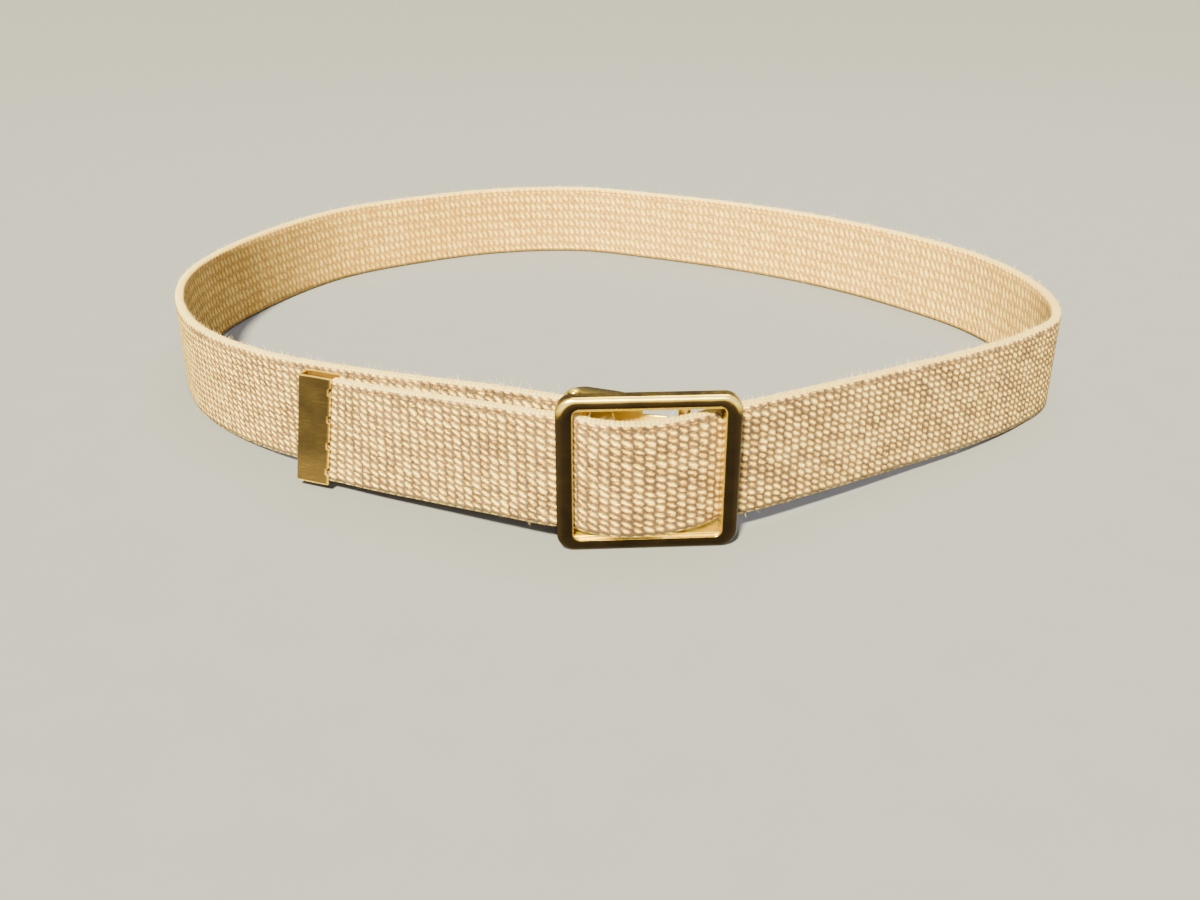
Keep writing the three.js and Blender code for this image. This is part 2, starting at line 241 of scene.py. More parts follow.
class Finish:
    """A procedural material, built from expressions."""

    def __init__(self, name, constants):
        self.material = bpy.data.materials.new(name)
        self.material.use_nodes = True
        self.tree = self.material.node_tree
        self.shader = self.tree.nodes["Principled BSDF"]
        for socket, value in constants.items():
            self.shader.inputs[socket].default_value = value

    def node(self, kind, settings=None, inputs=None, output=0):
        """A node of that type: its settings, then its sockets' values or links. Gives one
        output."""
        made = self.tree.nodes.new(kind)
        for name, value in (settings or {}).items():
            if name == "stops":
                self.set_stops(made.color_ramp, value)
            else:
                setattr(made, name, value)
        for name, value in (inputs or {}).items():
            if isinstance(value, Value):
                self.tree.links.new(value.socket, made.inputs[name])
            else:
                made.inputs[name].default_value = value
        return Value(self, made.outputs[output])

    def set_stops(self, ramp, stops):
        while len(ramp.elements) < len(stops):
            ramp.elements.new(0.5)
        for element, (place, colour) in zip(ramp.elements, stops):
            element.position = place
            element.color = (*colour, 1.0)

    def attribute(self, name):
        return self.node("ShaderNodeAttribute", {"attribute_name": name}, output="Vector")

    def place(self):
        return self.node("ShaderNodeTexCoord", output="Object")

    def parts(self, vector):
        split = self.node("ShaderNodeSeparateXYZ", inputs={0: vector}).socket.node
        return [Value(self, socket) for socket in split.outputs]

    def joined(self, x, y, z):
        return self.node("ShaderNodeCombineXYZ", inputs={0: x, 1: y, 2: z})

    def noise(self, vector, scale, detail=2.0, roughness=0.5):
        inputs = {"Vector": vector, "Scale": scale, "Detail": detail, "Roughness": roughness}
        return self.node("ShaderNodeTexNoise", inputs=inputs)

    def ramp(self, factor, stops):
        return self.node("ShaderNodeValToRGB", {"stops": stops}, {0: factor})

    def mixed(self, factor, first, second):
        """Two colours mixed; numbers in the tuples are linear colour values."""
        colours = [c if isinstance(c, Value) else (*c, 1.0) for c in (first, second)]
        inputs = {0: factor, 6: colours[0], 7: colours[1]}
        return self.node("ShaderNodeMix", {"data_type": "RGBA"}, inputs, output=2)

    def bump(self, height, distance, strength=1.0):
        inputs = {"Height": height, "Distance": distance, "Strength": strength}
        return self.node("ShaderNodeBump", inputs=inputs)

    def feed(self, **links):
        """Links what varies over the surface to the shader's sockets."""
        names = {"colour": "Base Color", "roughness": "Roughness", "normal": "Normal"}
        for key, value in links.items():
            self.tree.links.new(value.socket, self.shader.inputs[names[key]])
        return self.material


# Mesh helpers


def grid_faces(rows, columns, close_rows=False):
    """Quads of a grid of rows by columns, in row-major order. Its columns close round, and
    its rows too if asked."""
    r = np.arange(rows if close_rows else rows - 1)[:, None]
    c = np.arange(columns)[None, :]
    r1 = (r + 1) % rows
    c1 = (c + 1) % columns
    quads = np.stack([r * columns + c, r * columns + c1, r1 * columns + c1, r1 * columns + c], -1)
    return quads.reshape(-1, 4)


def new_piece(name, vertices, faces, material, node):
    """A mesh in metres, riding on the body and standing for its CAD node."""
    mesh = bpy.data.meshes.new(name)
    mesh.from_pydata(np.asarray(vertices).tolist(), [], faces)
    mesh.polygons.foreach_set("use_smooth", np.ones(len(mesh.polygons), bool))
    mesh.materials.append(material)
    mesh.update()
    piece = bpy.data.objects.new(name, mesh)
    bpy.context.scene.collection.objects.link(piece)
    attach(piece, BODY)
    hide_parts(node)
    return piece


def finish_metal(piece, tones):
    """Stores the plating's tone at each vertex, which on the rim, housing, pin and tip is painted
    light and shade, turns the faces outward and keeps the edges sharp that bend by more than
    SHARP_ANGLE."""
    attribute = piece.data.attributes.new("tone", "FLOAT", "POINT")
    attribute.data.foreach_set("value", np.asarray(tones, np.float32).ravel())
    turn_faces_out(piece)
    piece.data.set_sharp_from_angle(angle=SHARP_ANGLE)
    return piece


def turn_faces_out(piece):
    """Merges doubles and turns all faces of a closed mesh outward."""
    work = bmesh.new()
    work.from_mesh(piece.data)
    bmesh.ops.remove_doubles(work, verts=work.verts, dist=1e-7)
    bmesh.ops.recalc_face_normals(work, faces=work.faces)
    work.to_mesh(piece.data)
    work.free()


def joined_shells(shells):
    """Several closed shells of vertices and faces as one list of each."""
    vertices = []
    faces = []
    start = 0
    for points, quads in shells:
        vertices.append(points)
        faces += [[index + start for index in face] for face in quads]
        start += len(points)
    return np.concatenate(vertices), faces


def arc_points(centre, radius, start, end, count):
    """Points on an arc about a plan centre, from one angle to another."""
    angles = np.linspace(start, end, count)
    return np.stack([centre[0] + radius * np.cos(angles), centre[1] + radius * np.sin(angles)], 1)


def softened(outline, radius, count=5):
    """A closed outline whose corners are rounded: each corner becomes the quadratic
    curve between the points that lie radius before and after it."""
    outline = np.asarray(outline, float)
    before = np.roll(outline, 1, 0) - outline
    after = np.roll(outline, -1, 0) - outline
    reach_before = np.linalg.norm(before, axis=1, keepdims=True)
    reach_after = np.linalg.norm(after, axis=1, keepdims=True)
    first = outline + before / reach_before * np.minimum(radius, reach_before * 0.45)
    last = outline + after / reach_after * np.minimum(radius, reach_after * 0.45)
    t = np.linspace(0, 1, count)[None, :, None]
    curve = ((1 - t) ** 2 * first[:, None] + 2 * t * (1 - t) * outline[:, None]
             + t ** 2 * last[:, None])
    return curve.reshape(-1, 2)


def inset(outline, amount):
    """A closed anticlockwise outline moved inward by an amount, each point along the
    mean of its two edges' normals."""
    edge = np.roll(outline, -1, 0) - outline
    edge /= np.maximum(np.linalg.norm(edge, axis=1, keepdims=True), 1e-9)
    normal = np.stack([-edge[:, 1], edge[:, 0]], 1)
    mean = normal + np.roll(normal, 1, 0)
    mean /= np.maximum(np.linalg.norm(mean, axis=1, keepdims=True), 1e-9)
    return outline + mean * amount


def plate_shell(outline, low, high, edge=0.18, steps=4):
    """A plate: its outline raised from low to high, with quarter-round edges. Each
    level is the outline moved inward by the quarter circle's width at that height."""
    outline = np.asarray(outline, float)
    following = np.roll(outline, -1, 0)
    area = np.sum(outline[:, 0] * following[:, 1] - outline[:, 1] * following[:, 0])
    if area < 0:
        outline = outline[::-1]
    angle = np.linspace(0, math.pi / 2, steps)
    widths = edge * (1 - np.sin(angle))
    heights = edge * (1 - np.cos(angle))
    levels = [(low + h, w) for h, w in zip(heights, widths)]
    levels += [(high - h, w) for h, w in zip(heights[::-1], widths[::-1])]
    rings = [np.column_stack([inset(outline, w), np.full(len(outline), z)]) for z, w in levels]
    count = len(outline)
    faces = grid_faces(len(rings), count).tolist()
    last = (len(rings) - 1) * count
    faces.append(list(range(count))[::-1])
    faces.append([last + k for k in range(count)])
    return np.concatenate(rings), faces


def lathe_shell(profile, centre, sides=48):
    """A turned piece: each profile point (radius, height) swept round the upright axis,
    with the ends closed by a fan to the axis."""
    profile = np.asarray(profile, float)
    angle = np.linspace(0, 2 * math.pi, sides, endpoint=False)
    x = centre[0] + profile[:, :1] * np.cos(angle)
    y = centre[1] + profile[:, :1] * np.sin(angle)
    z = np.broadcast_to(profile[:, 1:], x.shape)
    points = np.stack([x, y, z], -1).reshape(-1, 3)
    low = [centre[0], centre[1], profile[0, 1]]
    high = [centre[0], centre[1], profile[-1, 1]]
    faces = grid_faces(len(profile), sides).tolist()
    count = len(points)
    last = (len(profile) - 1) * sides
    faces += [[count, (k + 1) % sides, k] for k in range(sides)]
    faces += [[count + 1, last + k, last + (k + 1) % sides] for k in range(sides)]
    return np.concatenate([points, [low, high]]), faces


# The lever's slanted line and the places on it

pin = np.array([-FRAME_HALF + PIN_INSET,
                LEFT_BAR_DEPTH + GAP + WEB_THICKNESS + PIN_ROOM + KNUCKLE_RADIUS])
tab_end = np.array([BAR_X - BAR_RADIUS - TAB_TO_BAR, WEB_BACK + TAB_CLEAR])
tab_root = np.array([tab_end[0] - TAB_LENGTH, WEB_BACK + LEVER_CLEAR])
lever_offset = KNUCKLE_RADIUS - LEVER_THICKNESS / 2
lever_span = np.linalg.norm(tab_root - pin)
slant = (math.atan2(pin[1] - tab_root[1], tab_root[0] - pin[0])
         + math.asin(lever_offset / lever_span))
lever_length = math.sqrt(lever_span ** 2 - lever_offset ** 2)
fixed_web_offset = KNUCKLE_RADIUS + GAP + HALF_WEB
bed_front = fixed_web_offset + HALF_WEB + GAP
bed_back = bed_front + BED_THICKNESS


def slanted(along, behind):
    """A plan point given along the slanted line, away from the buckle's middle, and behind it."""
    return (pin[0] - along * math.cos(slant) + behind * math.sin(slant),
            pin[1] + along * math.sin(slant) + behind * math.cos(slant))


# The web's route

# across is a share of the loop's half width, back of its depth, lift of the buckle's lift
LOOP_ROWS = [
    (-0.239, 0.076, 1.00), (-0.472, 0.136, 0.70), (-0.702, 0.214, 0.32), (-0.886, 0.322, 0.05),
    (-0.986, 0.452, 0.00), (-1.000, 0.566, 0.00), (-0.919, 0.713, 0.00), (-0.749, 0.859, 0.00),
    (-0.530, 0.941, 0.00), (-0.289, 0.994, 0.00), (-0.020, 1.000, 0.00), (0.223, 0.940, 0.00),
    (0.447, 0.867, 0.00), (0.659, 0.773, 0.00), (0.826, 0.664, 0.00), (0.952, 0.541, 0.00),
    (0.984, 0.399, 0.00), (0.927, 0.294, 0.00), (0.821, 0.237, 0.10), (0.681, 0.182, 0.35),
    (0.511, 0.128, 0.60), (0.321, 0.070, 0.88),
]

# reach is a share of the window's half width, back runs from the proud middle to behind
# a bar, and lift is as above
WINDOW_ROWS = [(0.67, 0.42, 1.00), (-0.15, 0.00, 0.86), (-0.72, 0.46, 0.86)]

# across, back and lift as above, skew is the share of the tip's lean in the web's own plane
TONGUE_ROWS = [
    (-0.238, 0.037, 0.95, 0.0), (-0.362, 0.073, 0.76, 0.0), (-0.473, 0.105, 0.61, 0.3),
    (-0.543, 0.126, 0.55, 1.0), (-0.606, 0.142, 0.53, 1.0),
]


def loop_row(across, back, lift, skew=0.0):
    return (across * LOOP_HALF_WIDTH, back * LOOP_DEPTH, lift * LIFT + WEB_WIDTH / 2, skew)


def window_row(reach, back, lift):
    behind = BEHIND_RIGHT if reach > 0 else BEHIND_LEFT
    y = WEB_FRONT + (behind - WEB_FRONT) * back
    return (reach * WINDOW_HALF, y, lift * LIFT + WEB_WIDTH / 2, 0.0)


def web_stations():
    """The rows of the web's route: x, y, middle height and skew."""
    rows = [
        (*slanted(-FIXED_END_REACH, fixed_web_offset), MIDDLE, 0.0),
        (*slanted(FIXED_END_EXIT, fixed_web_offset), MIDDLE, 0.0),
    ]
    rows += [loop_row(*row) for row in LOOP_ROWS]
    rows += [
        (WINDOW_HALF + 5.9, BEHIND_RIGHT + 2 * RIGHT_TURN_ROOM, MIDDLE, 0.0),
        (WINDOW_HALF + RIGHT_TURN_ROOM, BEHIND_RIGHT, MIDDLE, 0.0),
    ]
    rows += [window_row(*row) for row in WINDOW_ROWS]
    rows += [
        (-WINDOW_HALF - LEFT_TURN_ROOM, BEHIND_LEFT, MIDDLE, 0.0),
        (-FRAME_HALF - 1.0, BEHIND_LEFT + 2 * LEFT_TURN_ROOM, MIDDLE, 0.0),
    ]
    rows += [loop_row(*row) for row in TONGUE_ROWS]
    return np.array(rows)


def smooth_path(rows, per_row=60):
    """Centripetal curve through the rows: between two rows a cubic whose end slopes come
    from the neighbours, with knots spaced by the square root of the distance."""
    places = rows[:, :3]
    padded = np.vstack([2 * places[0] - places[1], places, 2 * places[-1] - places[-2]])
    p0, p1, p2, p3 = (padded[k:len(padded) - 3 + k, None] for k in range(4))
    d0, d1, d2 = (np.linalg.norm(b - a, axis=2, keepdims=True) ** 0.5
                  for a, b in ((p0, p1), (p1, p2), (p2, p3)))
    slope1 = ((p1 - p0) / d0 - (p2 - p0) / (d0 + d1) + (p2 - p1) / d1) * d1
    slope2 = ((p2 - p1) / d1 - (p3 - p1) / (d1 + d2) + (p3 - p2) / d2) * d1
    t = np.linspace(0, 1, per_row, endpoint=False)[None, :, None]
    curve = (p1 + slope1 * t + (3 * (p2 - p1) - 2 * slope1 - slope2) * t ** 2
             + (2 * (p1 - p2) + slope1 + slope2) * t ** 3)
    skew = rows[:-1, 3:4] + (rows[1:, 3:4] - rows[:-1, 3:4]) * t[0, :, 0]
    points = np.vstack([curve.reshape(-1, 3), places[-1:]])
    return points, np.append(skew.ravel(), rows[-1, 3])


def web_route():
    """Even stations along the web: place, direction in plan, skew and length so far."""
    points, skew = smooth_path(web_stations())
    steps = np.linalg.norm(np.diff(points, axis=0), axis=1)
    length = np.concatenate([[0.0], np.cumsum(steps)])
    count = int(length[-1] / STATION_STEP)
    at = np.linspace(0, length[-1], count + 1)
    place = np.stack([np.interp(at, length, points[:, k]) for k in range(3)], 1)
    place[:, 2] = np.maximum(place[:, 2], WEB_WIDTH / 2)
    along = np.gradient(place[:, :2], axis=0)
    along /= np.linalg.norm(along, axis=1, keepdims=True)
    return place, along, np.interp(at, length, skew), at


def web_section():
    """The web's section as side, height, edge share and inside share, from the outer face's
    foot up, over the upper selvedge, down the inner face and under the lower selvedge.
    The selvedges are half ellipses of SELVEDGE height."""
    straight = WEB_WIDTH / 2 - SELVEDGE
    up = np.linspace(-straight, straight, FACE_COLUMNS)
    turn = np.linspace(0, math.pi, EDGE_COLUMNS + 2)[1:-1]
    side = np.concatenate([np.full(FACE_COLUMNS, HALF_WEB), HALF_WEB * np.cos(turn),
                           np.full(FACE_COLUMNS, -HALF_WEB), -HALF_WEB * np.cos(turn)])
    height = np.concatenate([up, straight + SELVEDGE * np.sin(turn), up[::-1],
                             -straight - SELVEDGE * np.sin(turn)])
    edge = np.concatenate([np.zeros(FACE_COLUMNS), np.sin(turn)] * 2)
    inside = (1 - side / HALF_WEB) / 2
    return side, height, edge, inside


def on_web(place, along, skew, side, height):
    """Points off the route: side outward across the thickness, height up the width, with the
    skew shearing the width along the route."""
    lean = skew * math.tan(TIP_SKEW)
    x = place[:, 0:1] - along[:, 1:2] * side - along[:, 0:1] * height * lean[:, None]
    y = place[:, 1:2] + along[:, 0:1] * side - along[:, 1:2] * height * lean[:, None]
    return np.stack([x, y, place[:, 2:3] + height + 0 * x], -1)


def make_web(material):
    """The web: its section carried along the route, the selvedges ribbed by a sine of
    RIB_PITCH and the faces slightly uneven by slow sines along and across. Inside the tip
    the ribs end and the web is a little less high, by a ramp along the route."""
    place, along, skew, at = web_route()
    side, height, edge, inside = web_section()
    rib = RIB_HEIGHT * np.sin(2 * math.pi * at / RIB_PITCH)[:, None] * edge[None, :]
    slow = 0.05 * np.sin(at / 11.0)[:, None] + 0.04 * np.sin(at / 4.3 + 1.0)[:, None]
    sides = side[None, :] * (1 + (slow * np.cos(height / 9.0)[None, :]) / HALF_WEB)
    into_tip = at - at[-1] + TIP_LENGTH - IN_TIP_START
    in_tip = np.clip(into_tip / IN_TIP_BLEND, 0, 1)[:, None]
    fall = np.sign(height)[None, :] * (rib - RIB_HEIGHT * edge[None, :]) * (1 - in_tip)
    fall = fall - height[None, :] * IN_TIP_SHRINK * in_tip
    points = on_web(place, along, skew, sides, height[None, :] + fall)
    rows, columns = points.shape[:2]
    faces = grid_faces(rows, columns)[:, ::-1].tolist()
    last = (rows - 1) * columns
    faces.append(list(range(columns)))
    faces.append([last + k for k in range(columns)][::-1])
    piece = new_piece("webbing", in_frame(points.reshape(-1, 3)), faces, material,
                      "web_strap")
    weave = np.stack(np.broadcast_arrays(at[:, None], height[None, :], inside[None, :]), -1)
    attribute = piece.data.attributes.new("weave", "FLOAT_VECTOR", "POINT")
    attribute.data.foreach_set("vector", weave.astype(np.float32).ravel())
    edges = piece.data.attributes.new("selvedge", "FLOAT", "POINT")
    edges.data.foreach_set("value", np.tile(edge, rows).astype(np.float32))
    return piece


def make_fuzz(material):
    """Loose fibres along both selvedges: each is a thin three-sided tube of five rings that
    bends over by a quadratic of its length, tapering to its tip. Lower ones are shorter."""
    rng = np.random.default_rng(FIBRE_SEED)
    count = FIBRE_COUNT
    place, along, skew, at = web_route()
    pick = rng.integers(BARE_AT_START, len(at) - BARE_AT_END, count)
    top = np.where(rng.random(count) < UPPER_SHARE, 1.0, -1.0)
    side = rng.uniform(-HALF_WEB, HALF_WEB, count)
    straight = WEB_WIDTH / 2 - SELVEDGE
    round_over = np.sqrt(np.maximum(0, 1 - (side / HALF_WEB) ** 2))
    height = top * (straight + SELVEDGE * round_over - 2 * RIB_HEIGHT)
    base = on_web(place[pick], along[pick], skew[pick], side[:, None], height[:, None])[:, 0]
    outward = np.stack([-along[pick, 1], along[pick, 0], np.zeros(count)], 1)
    forward = np.stack([along[pick, 0], along[pick, 1], np.zeros(count)], 1)
    up = np.array([0.0, 0.0, 1.0])
    length = rng.gamma(2.0, 0.36, count).clip(LEAST_FIBRE, MOST_FIBRE) * (0.75 + 0.25 * top)
    lean = rng.normal(0, 0.55, (count, 2))
    start = top[:, None] * up + lean[:, :1] * outward + lean[:, 1:] * forward
    start /= np.linalg.norm(start, axis=1, keepdims=True)
    bend = rng.normal(0, 0.5, (count, 3))
    t = np.linspace(0, 1, FIBRE_RINGS)[None, :, None]
    course = start[:, None] * t + bend[:, None] * t ** 2 * 0.5
    centre = base[:, None] + length[:, None, None] * course
    centre[:, :, 2] = np.maximum(centre[:, :, 2], 0.05)
    radius = FIBRE_RADIUS * (1 - FIBRE_TAPER * t)
    turn = np.arange(FIBRE_SIDES) * 2 * math.pi / FIBRE_SIDES
    ring = (np.cos(turn)[None, None, :, None] * outward[:, None, None]
            + np.sin(turn)[None, None, :, None] * forward[:, None, None])
    points = (centre[:, :, None] + ring * radius[..., None]).reshape(-1, 3)
    tube = grid_faces(FIBRE_RINGS, FIBRE_SIDES)
    size = FIBRE_RINGS * FIBRE_SIDES
    starts = (np.arange(count) * size)[:, None, None]
    quads = (tube[None] + starts).reshape(-1, 4).tolist()
    caps = np.array([[0, 2, 1], [size - 3, size - 2, size - 1]])
    ends = (caps[None] + starts).reshape(-1, 3).tolist()
    return new_piece("loose_fibres", in_frame(points), quads + ends, material,
                     "web_strap")


# Metal pieces

# Tone of the rim along the course of its section, on the upper bar and elsewhere, all painted
# light:
# a painted dark reflection on the face, a painted highlight band over the upper bar's outer edge
# and a painted highlight along the window edge
RIM_COURSE = [-1.0, 0.0, 0.22, 0.42, 0.85, 1.02, 1.15, 1.6, 2.0, 2.3, 2.6, 4.0]
SIDE_PAINTED_LIGHT = [0.12, 0.16, 0.24, 0.28, 0.14, 0.08, 0.05, 0.03, 0.02, 0.45, 0.66, 0.66]
UPPER_PAINTED_LIGHT = [0.34, 0.34, 0.50, 0.98, 1.00, 0.62, 0.32, 0.14, 0.02, 0.45, 0.70, 0.70]

# Tone of the pin's heads against the share of their radius, a painted highlight in the middle and
# painted shade at the edge, and of plain pieces
DOME_REACH = [0.0, 0.6, 0.85, 1.0]
DOME_PAINTED_LIGHT = [0.9, 0.8, 0.35, 0.0]
PLAIN_TONE = 0.6
SHARP_ANGLE = math.radians(38)


def rounded_outline(width, height, radius, corner=14, straight=22):
    """A rounded rectangle about the origin, anticlockwise from the lower right corner's end,
    with the same number of points on each side and corner whatever its size."""
    x = width / 2 - radius
    y = height / 2 - radius
    centres = [(x, y), (-x, y), (-x, -y), (x, -y)]
    parts = []
    for k, centre in enumerate(centres):
        start = k * math.pi / 2
        arc = arc_points(centre, radius, start, start + math.pi / 2, corner)
        nxt = centres[(k + 1) % 4]
        end = arc_points(nxt, radius, start + math.pi / 2, start + math.pi, 2)[0]
        t = np.linspace(0, 1, straight + 2)[1:-1, None]
        parts += [arc, arc[-1] * (1 - t) + end * t]
    return np.concatenate(parts)


def rim_depth(x, z):
    """How deep the rim is at a place: less behind the left bar where the tongue passes,
    more behind the right bar."""
    beside_web = np.abs(z) < WEB_WIDTH / 2 + GAP
    left = (x < -WINDOW_HALF + GAP) & beside_web
    right = (x > WINDOW_HALF - GAP) & (np.abs(z) < FRAME_HEIGHT / 2 - END_BAR)
    return np.where(left, LEFT_BAR_DEPTH, np.where(right, RIGHT_BAR_DEPTH, RIM_DEPTH))


def rim_profile():
    """The bar's section as a share across, from the outer edge to the window, and a depth in
    shares of the bevels: outer side, quarter-round outer edge, gently crowned face,
    quarter-round window edge, window side. Its course counts 0 to 1 over the outer edge, to 2
    over the face and to 3 over the window edge."""
    outer = np.linspace(0, math.pi / 2, 9)
    inner = np.linspace(math.pi / 2, 0, 6)
    face = np.linspace(0, 1, 9)[1:-1]
    bevel_share = 0.36
    lip_share = 0.11
    crown = 0.10
    across = np.concatenate([
        [0.0, 0.0], bevel_share * (1 - np.cos(outer)),
        bevel_share + face * (1 - bevel_share - lip_share),
        1 - lip_share * (1 - np.cos(inner)), [1.0, 1.0],
    ])
    depth = np.concatenate([
        [1.0, 0.5], 1.25 * (1 - np.sin(outer)) + crown,
        crown * (1 - np.sin(face * math.pi)),
        0.40 * (1 - np.sin(inner)) + crown, [0.5, 1.0],
    ])
    share = np.zeros(len(across), bool)
    share[[0, 1, -2, -1]] = True
    course = np.concatenate([[-1.0, -0.5], outer / (math.pi / 2), 1 + face,
                             3 - inner / (math.pi / 2), [3.5, 4.0]])
    return across, depth, share, course


def make_rim(material):
    """The rim: its section carried round the rounded rectangle, each point between the outer
    outline and the window's outline, and its back at the depth of that place."""
    outer = rounded_outline(FRAME_WIDTH, FRAME_HEIGHT, OUTER_RADIUS)
    window = rounded_outline(2 * WINDOW_HALF, FRAME_HEIGHT - 2 * END_BAR, WINDOW_RADIUS)
    across, depth, share, course = rim_profile()
    plan = outer[:, None] * (1 - across[None, :, None]) + window[:, None] * across[None, :, None]
    middle = (outer + window) / 2
    back = rim_depth(middle[:, 0], middle[:, 1])[:, None]
    y = np.where(share[None, :], depth[None, :] * back, depth[None, :])
    points = np.stack([plan[..., 0], y, plan[..., 1] + MIDDLE], -1)
    rows, columns = y.shape
    faces = grid_faces(rows, columns, close_rows=True).tolist()
    piece = new_piece("buckle_rim", in_frame(points.reshape(-1, 3)), faces, material,
                      "buckle_frame")
    # The tone is painted light: a dark reflection on the face, and highlights on the window edge
    # and on the upper bar's outer edge
    side_painted_light = np.interp(course, RIM_COURSE, SIDE_PAINTED_LIGHT)
    upper_painted_light = np.interp(course, RIM_COURSE, UPPER_PAINTED_LIGHT)
    upper = np.clip((plan[..., 1] - FRAME_HEIGHT / 2 + 1.7 * END_BAR) / END_BAR, 0, 1)
    return finish_metal(piece, side_painted_light + (upper_painted_light - side_painted_light) * upper)


def make_housing(material):
    """Top and bottom walls with their ears, and the bed plate between them."""
    wall = softened([
        (-WINDOW_HALF - WALL_PAST_WINDOW, WALL_FRONT),
        (WINDOW_HALF + WALL_PAST_WINDOW, WALL_FRONT),
        (WINDOW_HALF + WALL_PAST_WINDOW, WALL_DEPTH),
        (tab_root[0], WALL_DEPTH),
        slanted(-BED_REACH, bed_back),
        slanted(0, bed_back),
        slanted(EAR_REACH, fixed_web_offset),
        (-WINDOW_HALF - WALL_PAST_WINDOW, pin[1]),
    ], 1.4)
    bed = softened([
        slanted(0, bed_front), slanted(-BED_REACH, bed_front),
        slanted(-BED_REACH, bed_back), slanted(0, bed_back),
    ], 0.2, 3)
    shells = [
        plate_shell(wall, WALL_LOW, WALL_LOW + WALL_THICKNESS),
        plate_shell(wall, WALL_HIGH - WALL_THICKNESS, WALL_HIGH),
        plate_shell(bed, WALL_LOW + WALL_THICKNESS, WALL_HIGH - WALL_THICKNESS, edge=0.02, steps=2),
    ]
    points, faces = joined_shells(shells)
    piece = new_piece("buckle_housing", in_frame(points), faces, material,
                      "buckle_frame")
    # Painted dark reflection: the walls' top faces are darkened, save near the front and at the
    # ear's end beyond the pin
    top = np.clip((points[:, 2] - WALL_HIGH + 0.25) / 0.2, 0, 1)
    from_end = np.clip((points[:, 0] - pin[0] + 1.9) / 0.9, 0, 1)
    from_end = from_end * np.clip((points[:, 1] - 3.0) / 2.0, 0, 1)
    return finish_metal(piece, 0.62 - 0.56 * top * from_end)


def strip_outline(centre, thickness):
    """Outline of a strip of even thickness along a plan line: the line moved half the
    thickness to one side, and back along the other."""
    centre = np.asarray(centre, float)
    along = np.gradient(centre, axis=0)
    along /= np.linalg.norm(along, axis=1, keepdims=True)
    off = np.stack([-along[:, 1], along[:, 0]], 1) * thickness / 2
    return np.concatenate([centre - off, (centre + off)[::-1]])


def make_lever(material):
    """Knuckle round the pin, plate along the slant and the narrower tab, bent forward."""
    low = WALL_LOW + WALL_THICKNESS + GAP
    high = WALL_HIGH - WALL_THICKNESS - GAP
    t = np.linspace(0, 1, 16)[:, None]
    start = np.array(slanted(0, lever_offset))
    end = np.array(slanted(-lever_length, lever_offset))
    plate = strip_outline(start * (1 - t) + end * t, LEVER_THICKNESS)
    root = np.array(slanted(-lever_length + 1.2, lever_offset))
    bend = (1 - t) ** 2 * root + 2 * t * (1 - t) * (end + [1.0, -0.5]) + t ** 2 * tab_end
    tab = strip_outline(bend, LEVER_THICKNESS)
    half = TAB_WIDTH / 2
    knuckle = [(KNUCKLE_RADIUS - 0.2, low), (KNUCKLE_RADIUS, low + 0.2),
               (KNUCKLE_RADIUS, high - 0.2), (KNUCKLE_RADIUS - 0.2, high)]
    points, faces = joined_shells([
        plate_shell(plate, low, high),
        plate_shell(tab, MIDDLE - half, MIDDLE + half),
        lathe_shell(knuckle, pin),
    ])
    piece = new_piece("clamp_plate", in_frame(points), faces, material,
                      "clamp_lever")
    return finish_metal(piece, np.full(len(points), PLAIN_TONE))


def make_pin(material):
    """The pin with two peened heads: each a low dome of DOME_HEIGHT, round as an ellipse."""
    under = WALL_HIGH + GAP
    turn = np.linspace(0, math.pi / 2, 9)
    dome = [(PIN_HEAD_RADIUS * math.cos(a) ** 0.7 + 1e-4, under + DOME_HEIGHT * math.sin(a))
            for a in turn[:-1]]
    dome.append((0.05, under + DOME_HEIGHT))
    upper = [(PIN_RADIUS, under)] + dome
    lower = [(r, 2 * MIDDLE - z) for r, z in upper[::-1]]
    points, faces = lathe_shell(lower + upper, pin)
    piece = new_piece("peened_pin", in_frame(points), faces, material, "hinge_pin")
    reach = np.hypot(points[:, 0] - pin[0], points[:, 1] - pin[1]) / PIN_HEAD_RADIUS
    # Painted highlight in the middle of each head, painted shade towards its edge
    return finish_metal(piece, np.interp(reach, DOME_REACH, DOME_PAINTED_LIGHT))


def make_bar(material):
    """The friction bar: a round bar with rounded shoulders and a journal at both ends."""
    shoulder = WALL_HIGH - WALL_THICKNESS - GAP
    soft = 0.3
    turn = np.linspace(0, math.pi / 2, 5)
    upper = [(BAR_RADIUS - soft + soft * math.cos(a), shoulder - soft + soft * math.sin(a))
             for a in turn]
    upper += [(JOURNAL_RADIUS, shoulder), (JOURNAL_RADIUS, WALL_HIGH)]
    lower = [(r, 2 * MIDDLE - z) for r, z in upper[::-1]]
    points, faces = lathe_shell(lower + upper, (BAR_X, BAR_BACK))
    piece = new_piece("round_bar", in_frame(points), faces, material, "friction_bar")
    return finish_metal(piece, np.full(len(points), PLAIN_TONE))


